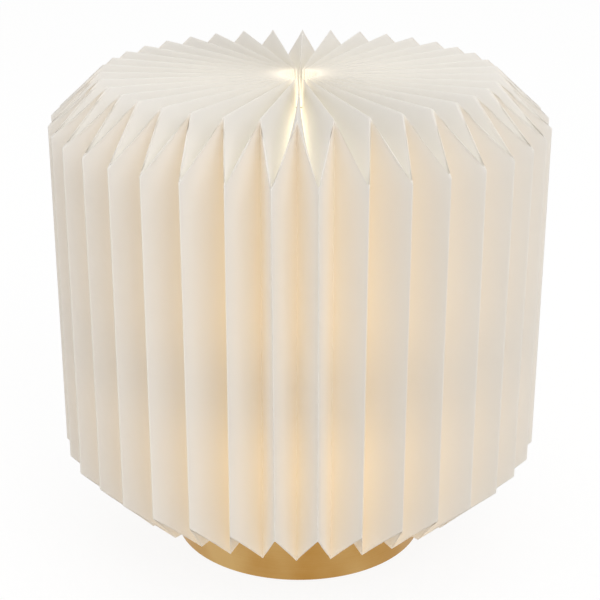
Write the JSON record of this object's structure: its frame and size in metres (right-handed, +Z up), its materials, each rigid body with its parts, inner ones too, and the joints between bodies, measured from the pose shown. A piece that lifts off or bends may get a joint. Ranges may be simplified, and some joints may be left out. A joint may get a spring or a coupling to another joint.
{
  "type": "pleated paper table lamp",
  "caption": "Low table lamp: a folded paper shade shaped like a drum with upright pleats stands on a round brass base that holds a small screw lampholder and bulb.",
  "frame": {"origin": "centre of the lamp's underside, on the table", "axes": "+Z up along the lamp's axis, -Y towards the front, +Y towards the lead inlet, +X to the right seen from the front"},
  "size_m": [0.2402, 0.2394, 0.2429],
  "materials": {
    "paper": "matt folded paper, warm where the lamp is lit",
    "thread": "twisted cotton thread",
    "collar_plastic": "white moulded plastic",
    "locator_steel": "brass plated pressed steel",
    "drum_brass": "satin brass, brushed round the drum",
    "ballast_iron": "cast and painted dark grey",
    "felt": "dark felt",
    "plated_steel": "zinc plated",
    "bush_rubber": "black moulded bush",
    "holder_plastic": "white moulded plastic",
    "ceramic": "unglazed steatite",
    "contact_brass": "bright brass",
    "opal": "opal diffuser",
    "bulb_plastic": "white moulded plastic",
    "cap_metal": "nickel plated",
    "insulator": "black moulded plastic",
    "tip_metal": "soldered tip",
    "board_metal": "white coated aluminium",
    "chips": "yellow phosphor",
    "driver_board": "green circuit board"
  },
  "bodies": {
    "base": {"shade_locator": "locator_steel", "base_drum": "drum_brass", "ballast_disc": "ballast_iron", "base_felt": "felt", "threaded_tube": "plated_steel", "clamp_washer": "plated_steel", "clamp_nut": "plated_steel", "spacer_sleeve": "plated_steel", "inlet_bush": "bush_rubber", "holder_cap": "holder_plastic", "cap_grub_screw": "plated_steel", "holder_skirt": "holder_plastic", "holder_core": "ceramic", "socket_shell": "contact_brass", "centre_contact": "contact_brass", "contact_rivets": "contact_brass", "terminal_blocks": "contact_brass", "terminal_screws": "plated_steel"},
    "shade": {"paper_shade": "paper", "gather_thread": "thread", "neck_collar": "collar_plastic"},
    "bulb": {"bulb_globe": "opal", "bulb_housing": "bulb_plastic", "bulb_cap": "cap_metal", "bulb_insulator": "insulator", "bulb_tip": "tip_metal", "led_board": "board_metal", "led_chips": "chips", "led_driver": "driver_board"}
  },
  "joints": [
    {"name": "shade_lift", "type": "slide", "parent": "base", "child": "shade", "axis": [0, 0, 1], "range_m": [0, 0.125]},
    {"name": "bulb_draw", "type": "slide", "parent": "base", "child": "bulb", "axis": [0, 0, 1], "range_m": [0, 0.024]}
  ]
}
